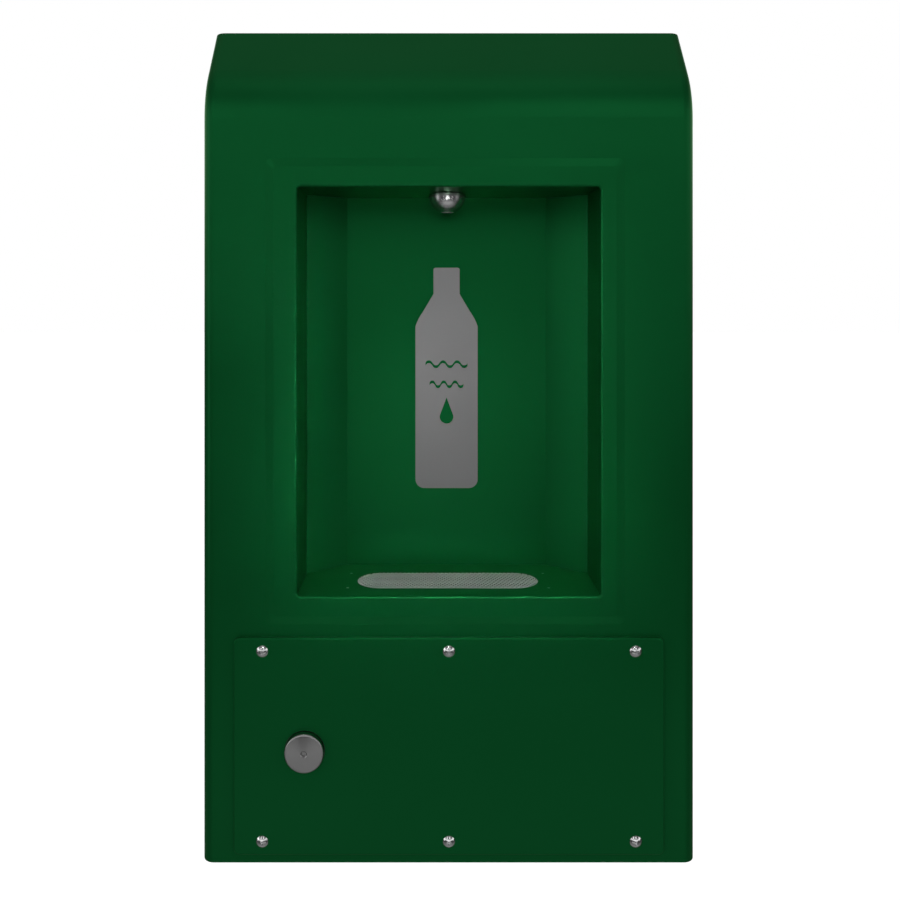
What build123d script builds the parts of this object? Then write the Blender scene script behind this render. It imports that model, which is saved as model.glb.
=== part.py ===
from build123d import *
import os
from math import cos, pi, sin

# Wall-mounted bottle filling station. Millimetres. X is across the cabinet, the front faces -Y,
# the wall is the plane y = 0 and Z is up. Heights are measured from the cabinet's bottom edge;
# save() moves every piece down so that the origin is the centre of the wall-fixing holes.

os.makedirs("parts", exist_ok=True)

# ---- Cabinet ----
WIDTH, HEIGHT, DEPTH = 506.0, 865.0, 200.0
FRONT = -DEPTH
SHEET = 1.5
HOOD_START = 792.0      # height where the front and the sloped hood would meet unrounded
HOOD_BACK = 52.0        # how far behind the front the hood's top edge lies
EDGE_R = 12.0           # rounding of the upright front edges
BEND_R = 90.0           # soft rounding of the hood's bend

# ---- Wall fixing ----
FIX_Z = 440.0
FIX_SPACING = (300.0, 700.0)
FIX_HOLE_R = 4.5
PLATE_T = 2.0
PLATE_SIZE = (500.0, 835.0)

# ---- Recess ----
OPEN_W = 311.0
FLOOR_Z, CEILING_Z = 272.7, 692.0
STRAIGHT = 72.0         # depth of the straight part of the side walls
RECESS = 105.0          # full depth of the recess
BACK_W = 227.0
RECESS_BACK = FRONT + RECESS
TRIM_W, TRIM_LOW, TRIM_HIGH = 368.0, 243.9, 721.3
TRIM_X = -4.0           # the surround sits a little to the left of the recess
TRIM_PROUD, TRIM_BEVEL = 1.4, 8.5
LIP_W, LIP_R = 3.0, 2.5

# ---- Access panel ----
PANEL_W, PANEL_LOW, PANEL_HIGH = 438.8, 10.8, 231.6
PANEL_PROUD = 5.0
PANEL_Z = (PANEL_LOW + PANEL_HIGH) / 2
PANEL_FACE = FRONT - PANEL_PROUD
SCREW_DX, SCREW_DZ = 190.3, 193.6
SCREW_R, SCREW_HEAD_R = 3.0, 6.1
HATCH = (350.0, 160.0)  # hole in the cabinet behind the access panel

# ---- Push button and its valve ----
BUTTON = (-147.0, 117.0)
BUTTON_R, BUTTON_PROUD = 20.0, 8.0
STEM_R, RUNNING = 5.0, 0.05
BUTTON_FACE = PANEL_FACE - BUTTON_PROUD
CAP_BACK = BUTTON_FACE + 4.0
WEB_Y = -167.0
PORT_Y = -108.0
TUBE_R = 4.0

# ---- Nozzle and drain ----
NOZZLE_Y = -140.0
NOZZLE_R, MOUTH_R = 20.0, 8.5
NOZZLE_BAND = 1.5       # short straight band above the dome's half sphere
DRAIN_Y = -150.0
DRAIN_L, DRAIN_W = 195.0, 52.0
TRAP_Z = 150.0          # height of the waste outlet
PIPE_R = 16.0

# ---- Water inlet and filter ----
INLET = (110.0, 80.0)
INLET_R = 10.48         # outside of a G1/2 thread
FILTER = (205.0, -45.0)
FILTER_R = 34.0
HEAD_LOW, HEAD_HIGH = 305.0, 340.0

SIGN_W, SIGN_LOW, SIGN_HIGH = 71.0, 360.6, 612.4


def save(name, *solids):
    """Write one node, with every height moved into the frame of the wall-fixing holes."""
    moved = [Pos(0, 0, -FIX_Z) * s for shape in solids for s in shape.solids()]
    export_step(moved[0] if len(moved) == 1 else Compound(children=moved), f"parts/{name}.step")


def block(x0, x1, y0, y1, z0, z1):
    return Pos((x0 + x1) / 2, (y0 + y1) / 2, (z0 + z1) / 2) * Box(x1 - x0, y1 - y0, z1 - z0)


def rod_y(x, z, r, y0, y1):
    return Pos(x, (y0 + y1) / 2, z) * Rot(90, 0, 0) * Cylinder(r, y1 - y0)


def rod_z(x, y, r, z0, z1):
    return Pos(x, y, (z0 + z1) / 2) * Cylinder(r, z1 - z0)


def rod_x(y, z, r, x0, x1):
    return Pos((x0 + x1) / 2, y, z) * Rot(0, 90, 0) * Cylinder(r, x1 - x0)


def hex_y(x, z, flats, y0, y1):
    face = Plane.XZ.offset(-y0) * Pos(x, z) * RegularPolygon(flats / 2, 6, major_radius=False)
    return extrude(face, amount=y1 - y0, dir=(0, 1, 0))


def hex_z(x, y, flats, z0, z1):
    face = Plane.XY.offset(z0) * Pos(x, y) * RegularPolygon(flats / 2, 6, major_radius=False)
    return extrude(face, amount=z1 - z0)


def front_face(sketch, y0, y1):
    """Extrude a sketch drawn in x and z through the thickness y0 to y1."""
    return extrude(Plane.XZ.offset(-y0) * sketch, amount=y1 - y0, dir=(0, 1, 0))


def rounded(w, h, r, z):
    return Pos(0, z) * RectangleRounded(w, h, r)


def tube(points, radii, r, wall):
    """A bent tube along straight runs joined by tangent arcs."""
    path = FilletPolyline(*points, radius=radii)
    start = Plane(origin=path @ 0, z_dir=path % 0)
    return sweep(start * (Circle(r) - Circle(r - wall)), path=path)


# ---- Cabinet wrap: hood, front, sides, bottom; open at the wall ----
def cabinet_block(inset):
    """The cabinet's outside, or its inside when inset is the sheet thickness."""
    half, low, high = WIDTH / 2 - inset, inset, HEIGHT - inset
    front, back = FRONT + inset, 0.0 if inset == 0 else 1.0
    slope = (HEIGHT - HOOD_START) / HOOD_BACK
    bend_z = HOOD_START - inset * ((1 + slope ** 2) ** 0.5 - 1) / slope
    top_y = front + (high - bend_z) / slope
    side = Polyline((back, low), (front, low), (front, bend_z), (top_y, high), (back, high), close=True)
    body = extrude(Plane.YZ.offset(-half) * make_face(side), amount=2 * half)
    bend = body.edges().filter_by(Axis.X).sort_by_distance((0, front, bend_z))[0]
    body = fillet([bend], BEND_R - inset)
    uprights = [
        e for e in body.edges()
        if abs(abs(e.center().X) - half) < 0.01 and e.center().Y < top_y - 1
        and low + 1 < e.center().Z < high - 1
    ]
    return fillet(uprights, EDGE_R - inset)


def security_screws(length, y_face):
    """Six dome-headed screws with a pin in a hexagon socket, one at each fixing of the panel."""
    screws = []
    for x, z in screw_places():
        dome = Pos(x, y_face, z) * Rot(90, 0, 0) * Pos(0, 0, -4.9) * Sphere(8.0)
        dome &= rod_y(x, z, SCREW_HEAD_R, y_face - 3.2, y_face)
        dome -= hex_y(x, z, 4.0, y_face - 3.2, y_face - 1.2)
        dome += rod_y(x, z, 0.9, y_face - 2.6, y_face - 1.0)
        screws.append(dome + rod_y(x, z, SCREW_R, y_face, y_face + length))
    return screws


def screw_places():
    return [(i * SCREW_DX, PANEL_Z + j * SCREW_DZ / 2) for j in (-1, 1) for i in (-1, 0, 1)]


housing = cabinet_block(0) - cabinet_block(SHEET)
recess_z = (FLOOR_Z + CEILING_Z) / 2
housing -= front_face(rounded(OPEN_W + 2 * LIP_W, CEILING_Z - FLOOR_Z + 2 * LIP_W, 4, recess_z),
                      FRONT - 1, FRONT + SHEET + 1)
housing -= front_face(rounded(*HATCH, 8, PANEL_Z), FRONT - 1, FRONT + SHEET + 1)
NUT_R = 4.6
for x, z in screw_places():
    housing -= rod_y(x, z, NUT_R, FRONT - 1, FRONT + SHEET + 1)
BASE_SCREWS = [(x, -13.0) for x in (-180.0, -60.0, 60.0, 180.0)]
for x, y in BASE_SCREWS:
    housing -= rod_z(x, y, 2.7, -1, SHEET + 1)
save("housing_shell", housing)

# ---- Wall plate: flat sheet, bottom lip for the cabinet's screws, two hooks for its rail ----
plate_low = (HEIGHT - PLATE_SIZE[1]) / 2 - 13.3
plate = block(-PLATE_SIZE[0] / 2, PLATE_SIZE[0] / 2, -PLATE_T, 0, plate_low, plate_low + PLATE_SIZE[1])
plate += block(-PLATE_SIZE[0] / 2, PLATE_SIZE[0] / 2, -25, -PLATE_T, plate_low, plate_low + PLATE_T)
FIX_PLACES = [(i * FIX_SPACING[0] / 2, FIX_Z + j * FIX_SPACING[1] / 2) for j in (-1, 1) for i in (-1, 1)]
for x, z in FIX_PLACES:
    plate -= rod_y(x, z, FIX_HOLE_R, -PLATE_T - 1, 1)
WASTE_HOLE_R, INLET_HOLE_R = 34.0, 24.0
plate -= rod_y(0, TRAP_Z, WASTE_HOLE_R, -PLATE_T - 1, 1)
plate -= rod_y(*INLET, INLET_HOLE_R, -PLATE_T - 1, 1)
for x, y in BASE_SCREWS:
    plate -= rod_z(x, y, 2.1, plate_low - 1, plate_low + PLATE_T + 1)
HOOK_X, HOOK_Z = 190.0, 815.0
for side in (-1, 1):
    x0, x1 = side * HOOK_X - 25, side * HOOK_X + 25
    plate += block(x0, x1, -12, -PLATE_T, HOOK_Z, HOOK_Z + 2)
    plate += block(x0, x1, -12, -10, HOOK_Z, HOOK_Z + 16)
save("back_plate", plate)

# ---- Hanging rail: angle under the cabinet's top that drops behind the wall plate's hooks ----
rail = block(-235, 235, -30, -6.5, HEIGHT - SHEET - 2, HEIGHT - SHEET)
rail += block(-235, 235, -8.5, -6.5, HOOK_Z + 2.3, HEIGHT - SHEET - 2)
save("hanging_rail", rail)

# ---- Cabinet screws: button heads under the bottom edge, threaded into the wall plate's lip ----
save("cabinet_screws", *[
    rod_z(x, y, 4.5, -2.4, 0) + rod_z(x, y, 2.0, 0, plate_low + PLATE_T + 3) for x, y in BASE_SCREWS
])


# ---- Recess liner: floor, ceiling, straight then diagonal walls, flat back, front flange ----
def recess_plan(grow):
    """Plan of the recess, enlarged by grow on every wall; its front edge stays put."""
    half, back_half = OPEN_W / 2 + grow, BACK_W / 2 + grow * 0.62
    knee, back = FRONT + STRAIGHT + grow * 0.35, RECESS_BACK + grow
    front = FRONT + SHEET - (0 if grow else 1)
    right = [(half, front), (half, knee), (back_half, back)]
    left = [(-x, y) for x, y in reversed(right)]
    return make_face(Polyline(*right, *left, close=True))


OPEN_H = CEILING_Z - FLOOR_Z
liner = extrude(Plane.XY.offset(FLOOR_Z - SHEET) * recess_plan(SHEET), amount=OPEN_H + 2 * SHEET)
flange = rounded(OPEN_W + 30, OPEN_H + 30, 3, recess_z)
liner += front_face(flange, FRONT + SHEET, FRONT + 2 * SHEET)
liner -= extrude(Plane.XY.offset(FLOOR_Z) * recess_plan(0), amount=OPEN_H)
slot = Pos(0, DRAIN_Y) * SlotOverall(DRAIN_L, DRAIN_W)
liner -= extrude(Plane.XY.offset(FLOOR_Z - SHEET - 1) * slot, amount=SHEET + 2)
liner -= rod_z(0, NOZZLE_Y, 8.2, CEILING_Z - 1, CEILING_Z + SHEET + 1)
STUD_PLACES = [(0.0, SIGN_LOW + 22), (0.0, SIGN_HIGH - 20)]
for x, z in STUD_PLACES:
    liner -= rod_y(x, z, 2.2, RECESS_BACK - 1, RECESS_BACK + SHEET + 1)
TRAY_SCREWS = [(i * 106.0, DRAIN_Y + j * 24.0) for i in (-1, 1) for j in (-1, 1)]
for x, y in TRAY_SCREWS:
    liner -= rod_z(x, y, 1.6, FLOOR_Z - SHEET - 1, FLOOR_Z + 1)
save("alcove_liner", liner)

# ---- Surround: shallow bevelled frame on the front, with a rounded lip turned into the opening ----
trim_z, trim_h = (TRIM_LOW + TRIM_HIGH) / 2, TRIM_HIGH - TRIM_LOW
low_face = Plane.XZ.offset(-FRONT) * Pos(TRIM_X, 0) * rounded(TRIM_W, trim_h, 6, trim_z)
high_face = Plane.XZ.offset(-FRONT + TRIM_PROUD) * Pos(TRIM_X, 0) * rounded(
    TRIM_W - 2 * TRIM_BEVEL, trim_h - 2 * TRIM_BEVEL, 3, trim_z)
surround = loft([low_face.face(), high_face.face()])
lip_fit = 2 * LIP_W - 0.2
surround += front_face(rounded(OPEN_W + lip_fit, OPEN_H + lip_fit, 3.9, recess_z), FRONT, FRONT + SHEET)
surround -= front_face(rounded(OPEN_W, OPEN_H, 4, recess_z), FRONT - 5, FRONT + 5)
lip = [e for e in surround.edges()
       if abs(e.center().Y - (FRONT - TRIM_PROUD)) < 0.01 and abs(e.center().X) < OPEN_W / 2 + 1
       and FLOOR_Z - 1 < e.center().Z < CEILING_Z + 1]
surround = fillet(lip, LIP_R)
save("alcove_surround", surround)

# ---- Access panel: tray with returned edges, standing proud of the cabinet ----
panel_h = PANEL_HIGH - PANEL_LOW
panel = front_face(rounded(PANEL_W, panel_h, 6, PANEL_Z), PANEL_FACE, FRONT)
panel_rim = panel.faces().sort_by(Axis.Y)[0].edges()
panel = fillet(panel_rim, 1.2)
hollow = rounded(PANEL_W - 2 * SHEET, panel_h - 2 * SHEET, 4.5, PANEL_Z)
panel -= front_face(hollow, PANEL_FACE + SHEET, FRONT + 1)
panel -= rod_y(*BUTTON, BUTTON_R + 0.6, PANEL_FACE - 1, PANEL_FACE + 3)
for x, z in screw_places():
    panel -= rod_y(x, z, SCREW_R + 0.3, PANEL_FACE - 1, PANEL_FACE + 3)
save("access_panel", panel)

# ---- Panel gasket: foam frame between the panel and the cabinet's front ----
GASKET_BACK, GASKET_FRONT = FRONT - 0.1, PANEL_FACE + SHEET
gasket_plan = rounded(PANEL_W - 8, panel_h - 8, 3, PANEL_Z) - rounded(HATCH[0] + 4, HATCH[1] + 4, 8, PANEL_Z)
gasket = front_face(gasket_plan, GASKET_FRONT, GASKET_BACK)
for x, z in screw_places():
    gasket -= rod_y(x, z, NUT_R + 1.6, GASKET_FRONT - 1, GASKET_BACK + 1)
save("panel_gasket", gasket)

# ---- Panel screws and the clinch nuts they turn into ----
save("panel_screws", *security_screws(14.0, PANEL_FACE))
save("panel_nuts", *[
    rod_y(x, z, NUT_R, FRONT, FRONT + 9) + rod_y(x, z, NUT_R + 1.2, FRONT + SHEET, FRONT + 3)
    - rod_y(x, z, SCREW_R, FRONT - 1, FRONT + 10) for x, z in screw_places()
])


# ---- Bottle sign: flat plate in the outline of a bottle, two waves and a drop cut through ----
def bottle_outline():
    """Half outline with straight neck and shoulder and rounded corners, mirrored about x = 0."""
    neck, body, corner = 14.9, SIGN_W / 2, 10.0
    shoulder, slant_end, straight = SIGN_HIGH - 30, (26.9, SIGN_HIGH - 50.3), SIGN_HIGH - 67
    right = [
        Line((0, SIGN_LOW), (body - corner, SIGN_LOW)),
        ThreePointArc((body - corner, SIGN_LOW), (body - corner * (1 - sin(pi / 4)),
                      SIGN_LOW + corner * (1 - cos(pi / 4))), (body, SIGN_LOW + corner)),
        Line((body, SIGN_LOW + corner), (body, straight)),
        ThreePointArc((body, straight), (31.9, SIGN_HIGH - 58.4), slant_end),
        Line(slant_end, (neck, shoulder)),
        Line((neck, shoulder), (neck, SIGN_HIGH - 2.5)),
        ThreePointArc((neck, SIGN_HIGH - 2.5), (neck - 0.73, SIGN_HIGH - 0.73), (neck - 2.5, SIGN_HIGH)),
        Line((neck - 2.5, SIGN_HIGH), (0, SIGN_HIGH)),
    ]
    half = make_face(right + [Line((0, SIGN_HIGH), (0, SIGN_LOW))])
    return half + mirror(half, about=Plane.YZ)


def wave(z, length, swing, thick):
    """A wavy band, three swings long, as the space between two splines."""
    steps = 18
    xs = [-length / 2 + length * i / steps for i in range(steps + 1)]
    mid = [z + swing * sin(6 * pi * (x / length + 0.5)) for x in xs]
    top = Spline(*[(x, m + thick / 2) for x, m in zip(xs, mid)])
    low = Spline(*[(x, m - thick / 2) for x, m in zip(xs, mid)])
    return make_face([top, low, Line(top @ 0, low @ 0), Line(top @ 1, low @ 1)])


def drop(z_low, z_high, width):
    """A water drop: a circle below, closed by its two tangents from the tip."""
    r = width / 2
    centre = z_low + r
    lift = r * r / (z_high - centre)
    side = (r * r - lift * lift) ** 0.5
    tip, right, left = (0, z_high), (side, centre + lift), (-side, centre + lift)
    return make_face([Line(tip, right), ThreePointArc(right, (0, z_low), left), Line(left, tip)])


SIGN_T = 1.5
sign = front_face(bottle_outline(), RECESS_BACK - SIGN_T, RECESS_BACK)
WAVES = [(502.0, 48.2), (479.0, 38.8)]
for z, length in WAVES:
    sign -= front_face(wave(z, length, 3.0, 3.4), RECESS_BACK - SIGN_T - 1, RECESS_BACK + 1)
sign -= front_face(drop(434.0, 464.0, 15.7), RECESS_BACK - SIGN_T - 1, RECESS_BACK + 1)
save("bottle_sign", sign)
wall_back = RECESS_BACK + SHEET
save("sign_studs", *[rod_y(x, z, 2.0, RECESS_BACK, wall_back + 7) for x, z in STUD_PLACES])
save("sign_nuts", *[
    hex_y(x, z, 7, wall_back, wall_back + 3.2) - rod_y(x, z, 2.0, wall_back - 1, wall_back + 4)
    for x, z in STUD_PLACES
])

# ---- Nozzle: dome with an open mouth, insert, washer, threaded stem, nut and elbow ----
NOZZLE_H = NOZZLE_BAND + (NOZZLE_R ** 2 - MOUTH_R ** 2) ** 0.5
halfway = NOZZLE_R / 2 ** 0.5
dome_plan = make_face([
    Line((0, 0), (NOZZLE_R, 0)),
    Line((NOZZLE_R, 0), (NOZZLE_R, -NOZZLE_BAND)),
    ThreePointArc((NOZZLE_R, -NOZZLE_BAND), (halfway, -NOZZLE_BAND - halfway), (MOUTH_R, -NOZZLE_H)),
    Line((MOUTH_R, -NOZZLE_H), (0, -NOZZLE_H)),
    Line((0, -NOZZLE_H), (0, 0)),
])
SEAL_T = 1.0
dome_top = CEILING_Z - SEAL_T
dome = Pos(0, NOZZLE_Y, dome_top) * revolve(Plane.XZ * dome_plan, Axis.Z)
dome -= rod_z(0, NOZZLE_Y, 7.0, dome_top - NOZZLE_H - 1, dome_top + 1)
save("nozzle_dome", dome)
insert = rod_z(0, NOZZLE_Y, 6.95, dome_top - NOZZLE_H + 1, dome_top - 10)
for i in range(6):
    insert -= rod_z(4.3 * cos(i * pi / 3), NOZZLE_Y + 4.3 * sin(i * pi / 3), 1.2, dome_top - 25, dome_top)
save("nozzle_insert", insert - rod_z(0, NOZZLE_Y, 1.4, dome_top - 25, dome_top))
save("nozzle_seal", rod_z(0, NOZZLE_Y, 17, dome_top, CEILING_Z) - rod_z(0, NOZZLE_Y, 8, 680, 700))
STEM_TOP = CEILING_Z + 22
stem_tube = rod_z(0, NOZZLE_Y, 7.0, dome_top - 9.9, STEM_TOP) - rod_z(0, NOZZLE_Y, 3.5, 670, STEM_TOP + 1)
save("nozzle_stem", stem_tube)
nut_low = CEILING_Z + SHEET
save("nozzle_nut", hex_z(0, NOZZLE_Y, 22, nut_low, nut_low + 6) - rod_z(0, NOZZLE_Y, 7.0, 690, 710))
ELBOW_Z = STEM_TOP + 18
elbow = rod_z(0, NOZZLE_Y, 10, nut_low + 8, ELBOW_Z + 10) + rod_x(NOZZLE_Y, ELBOW_Z, 9, -26, 0)
elbow -= rod_z(0, NOZZLE_Y, 7.0, 690, STEM_TOP)
elbow -= rod_z(0, NOZZLE_Y, 3.5, 690, ELBOW_Z) + rod_x(NOZZLE_Y, ELBOW_Z, 3.5, -27, 0)
elbow -= rod_x(NOZZLE_Y, ELBOW_Z, TUBE_R, -27, -14)
save("nozzle_elbow", elbow)

# ---- Drain: perforated grille in the slot, pan below, gasket, screws ----
# The grille's holes are coarser than the real pattern, to keep the solid light.
GRILLE_T = 1.5
grille_plan = Pos(0, DRAIN_Y) * SlotOverall(DRAIN_L - 1, DRAIN_W - 1)
grille = extrude(Plane.XY.offset(FLOOR_Z - GRILLE_T) * grille_plan, amount=GRILLE_T)
HOLE_PITCH, HOLE_R = 8.0, 2.4
rows = [(ix * HOLE_PITCH + (iy % 2) * HOLE_PITCH / 2, iy * HOLE_PITCH * 0.866)
        for iy in range(-2, 3) for ix in range(-12, 13)]
inside = [(x, y) for x, y in rows
          if (max(abs(x) - (DRAIN_L - DRAIN_W) / 2, 0) ** 2 + y ** 2) ** 0.5 < DRAIN_W / 2 - 5]
holes = [Pos(x, DRAIN_Y + y, FLOOR_Z - GRILLE_T / 2) * Cylinder(HOLE_R, GRILLE_T + 2) for x, y in inside]
save("drain_grille", grille - holes)

UNDER = FLOOR_Z - SHEET
GASKET_T = 1.0
tray_plan = Pos(0, DRAIN_Y) * RectangleRounded(DRAIN_L + 30, DRAIN_W + 10, 14)
gasket_face = tray_plan - Pos(0, DRAIN_Y) * SlotOverall(DRAIN_L + 3, DRAIN_W + 3)
tray_gasket = extrude(Plane.XY.offset(UNDER - GASKET_T) * gasket_face, amount=GASKET_T)
rim_top, PAN_DEPTH = UNDER - GASKET_T, 30.0
pan = extrude(Plane.XY.offset(rim_top - 1.2) * tray_plan, amount=1.2)
pan_plan = Pos(0, DRAIN_Y) * SlotOverall(DRAIN_L + 3, DRAIN_W + 3)
pan_inner = Pos(0, DRAIN_Y) * SlotOverall(DRAIN_L, DRAIN_W)
pan += extrude(Plane.XY.offset(rim_top - PAN_DEPTH) * pan_plan, amount=PAN_DEPTH)
pan -= extrude(Plane.XY.offset(rim_top - PAN_DEPTH + 1.5) * pan_inner, amount=PAN_DEPTH)
TAIL_R = 20.0
pan -= rod_z(0, DRAIN_Y, TAIL_R + 0.3, rim_top - PAN_DEPTH - 1, rim_top - PAN_DEPTH + 3)
for x, y in TRAY_SCREWS:
    tray_gasket -= rod_z(x, y, 1.9, UNDER - 3, UNDER + 1)
    pan -= rod_z(x, y, 1.9, rim_top - 3, rim_top + 1)
save("tray_gasket", tray_gasket)
save("drain_tray", pan)
save("tray_screws", *[
    rod_z(x, y, 3.2, rim_top - 3.2, rim_top - 1.2) + rod_z(x, y, 1.5, rim_top - 1.2, FLOOR_Z - 0.2)
    for x, y in TRAY_SCREWS
])

# ---- Waste: flanged fitting in the pan, washer, back nut ----
pan_floor = rim_top - PAN_DEPTH + 1.5
tail_low = pan_floor - 46
fitting = rod_z(0, DRAIN_Y, 24.5, pan_floor, pan_floor + 2) + rod_z(0, DRAIN_Y, TAIL_R, tail_low, pan_floor)
fitting -= rod_z(0, DRAIN_Y, TAIL_R - 3, tail_low - 1, pan_floor + 3)
save("waste_fitting", fitting)
under_pan = pan_floor - 1.5
save("waste_washer", rod_z(0, DRAIN_Y, 28, under_pan - 3, under_pan) - rod_z(0, DRAIN_Y, TAIL_R, 200, 260))
save("waste_nut", hex_z(0, DRAIN_Y, 56, under_pan - 12, under_pan - 3) - rod_z(0, DRAIN_Y, TAIL_R, 200, 260))

# ---- Bottle trap: body, screwed cup, inlet nut, outlet nut, waste pipe to the wall ----
BODY_R, TRAP_TOP, TRAP_MID, CUP_LOW = 27.0, tail_low + 6, 118.0, 62.0
trap = rod_z(0, DRAIN_Y, BODY_R, TRAP_MID, TRAP_TOP - 20) + rod_z(0, DRAIN_Y, 24, TRAP_TOP - 20, TRAP_TOP)
trap += rod_y(0, TRAP_Z, 20, DRAIN_Y, DRAIN_Y + 52)
trap -= rod_z(0, DRAIN_Y, BODY_R - 3, TRAP_MID - 1, TRAP_TOP - 23)
trap -= rod_z(0, DRAIN_Y, TAIL_R, 150, TRAP_TOP + 1)
trap -= rod_y(0, TRAP_Z, PIPE_R, DRAIN_Y, DRAIN_Y + 60)
save("trap_body", trap)
cup = rod_z(0, DRAIN_Y, BODY_R + 4, TRAP_MID - 4, TRAP_MID + 12)
cup += rod_z(0, DRAIN_Y, BODY_R, CUP_LOW, TRAP_MID)
cup -= rod_z(0, DRAIN_Y, BODY_R, TRAP_MID, TRAP_MID + 13)
cup -= rod_z(0, DRAIN_Y, BODY_R - 3, CUP_LOW + 3, TRAP_MID + 1)
save("trap_cup", cup)
trap_nut = rod_z(0, DRAIN_Y, 29, TRAP_TOP - 14, TRAP_TOP + 5)
trap_nut -= rod_z(0, DRAIN_Y, 24, TRAP_TOP - 15, TRAP_TOP)
save("trap_inlet_nut", trap_nut - rod_z(0, DRAIN_Y, TAIL_R, TRAP_TOP - 1, TRAP_TOP + 6))
outlet_y = DRAIN_Y + 52
outlet_nut = rod_y(0, TRAP_Z, 25, outlet_y - 14, outlet_y + 6)
outlet_nut -= rod_y(0, TRAP_Z, 20, outlet_y - 15, outlet_y)
save("trap_outlet_nut", outlet_nut - rod_y(0, TRAP_Z, PIPE_R, outlet_y - 1, outlet_y + 7))
WASTE_END, COLLAR_Y = -6.0, -83.0
pipe = rod_y(0, TRAP_Z, PIPE_R, outlet_y - 16, WASTE_END)
pipe += rod_y(0, TRAP_Z, PIPE_R + 2, COLLAR_Y - 3, COLLAR_Y)
pipe -= rod_y(0, TRAP_Z, PIPE_R - 2, outlet_y - 17, 0)
save("waste_pipe", pipe)


# ---- Edging: rubber beading round the wall plate's two holes ----
def edging(x, z, hole_r):
    ring = rod_y(x, z, hole_r + 3, -PLATE_T - 1.5, 0) - rod_y(x, z, hole_r - 2, -PLATE_T - 2, 1)
    return ring - (rod_y(x, z, hole_r + 4, -PLATE_T, 1) - rod_y(x, z, hole_r, -PLATE_T - 1, 2))


save("waste_edging", edging(0, TRAP_Z, WASTE_HOLE_R))
save("inlet_edging", edging(*INLET, INLET_HOLE_R))

# ---- Angle valve: inlet to the wall, outlet up, quarter-turn handle to the front ----
INLET_END, BODY_BACK, BODY_FRONT = -4.0, -22.0, -72.0
outlet = (INLET[0], FILTER[1])
angle = rod_y(*INLET, INLET_R, BODY_BACK, INLET_END) + rod_y(*INLET, 14, BODY_FRONT, BODY_BACK)
angle += rod_z(*outlet, 8.5, INLET[1], INLET[1] + 30)
angle -= rod_y(*INLET, 6, outlet[1], INLET_END + 1) + rod_z(*outlet, TUBE_R, INLET[1] + 8, INLET[1] + 31)
angle -= rod_z(*outlet, 3, INLET[1], INLET[1] + 9)
HANDLE_STEM_R = 4.0
angle -= rod_y(*INLET, HANDLE_STEM_R + RUNNING, BODY_FRONT - 1, BODY_FRONT + 12)
save("angle_valve_body", angle)
HANDLE_BACK = BODY_FRONT - 3.0
handle_stem = rod_y(*INLET, HANDLE_STEM_R, HANDLE_BACK - 12, BODY_FRONT + 11.5)
handle_stem -= rod_y(*INLET, 1.5, HANDLE_BACK - 13, HANDLE_BACK - 4)
save("shutoff_stem", handle_stem)
handle = rod_y(*INLET, 11, HANDLE_BACK - 12, HANDLE_BACK)
lever_plan = Pos(INLET[0], INLET[1] + 20) * SlotOverall(58, 15, rotation=90)
lever = front_face(lever_plan, HANDLE_BACK - 11, HANDLE_BACK - 3)
handle = handle + lever - rod_y(*INLET, HANDLE_STEM_R, HANDLE_BACK - 13, HANDLE_BACK + 1)
save("shutoff_handle", handle)
handle_front = HANDLE_BACK - 12
save("handle_screw", rod_y(*INLET, 4.6, handle_front - 2, handle_front)
     + rod_y(*INLET, 1.5, handle_front, handle_front + 7))

# ---- Filter: head on an angle bracket, bayonet cartridge hanging below with its seal ----
head_z = (HEAD_LOW + HEAD_HIGH) / 2
fx, fy = FILTER
head = rod_z(fx, fy, FILTER_R - 2, HEAD_LOW, HEAD_HIGH) + rod_x(fy, head_z, 9, fx - 48, fx)
head += rod_y(fx, head_z, 9, fy - 46, fy)
head -= rod_x(fy, head_z, TUBE_R, fx - 49, fx - 36) + rod_y(fx, head_z, TUBE_R, fy - 47, fy - 34)
SPIGOT_R = 14.0
head -= rod_z(fx, fy, SPIGOT_R + 0.5, HEAD_LOW - 1, HEAD_LOW + 14)
BRACKET_SCREW_X = 15.0
for side in (-1, 1):
    head -= rod_z(fx + side * BRACKET_SCREW_X, fy, 2.0, HEAD_HIGH - 10, HEAD_HIGH + 1)
save("filter_head", head)
CART_LOW = 105.0
cartridge = rod_z(fx, fy, FILTER_R, CART_LOW, HEAD_LOW - 1)
cartridge = fillet(cartridge.faces().sort_by(Axis.Z)[0].edges(), 10)
SEAL_Z = HEAD_LOW + 6
cartridge += rod_z(fx, fy, SPIGOT_R - 0.5, HEAD_LOW - 1, HEAD_LOW + 12)
seal_core = rod_z(fx, fy, SPIGOT_R - 2.5, SEAL_Z - 1, SEAL_Z + 4)
cartridge -= rod_z(fx, fy, SPIGOT_R + 1, SEAL_Z, SEAL_Z + 3) - seal_core
save("filter_cartridge", cartridge)
save("cartridge_seal", rod_z(fx, fy, SPIGOT_R + 0.2, SEAL_Z, SEAL_Z + 3)
     - rod_z(fx, fy, SPIGOT_R - 2.5, SEAL_Z - 1, SEAL_Z + 4))
shelf_low = HEAD_HIGH
bracket = block(fx - 28, fx + 28, fy - 30, -PLATE_T - 2, shelf_low, shelf_low + 2)
bracket += block(fx - 28, fx + 28, -PLATE_T - 2, -PLATE_T, shelf_low, shelf_low + 60)
for side in (-1, 1):
    bracket -= rod_z(fx + side * BRACKET_SCREW_X, fy, 2.3, shelf_low - 1, shelf_low + 3)
save("filter_bracket", bracket)
save("bracket_screws", *[
    rod_z(fx + side * BRACKET_SCREW_X, fy, 4, shelf_low + 2, shelf_low + 4.5)
    + rod_z(fx + side * BRACKET_SCREW_X, fy, 2.0, shelf_low - 9, shelf_low + 2) for side in (-1, 1)
])

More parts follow.
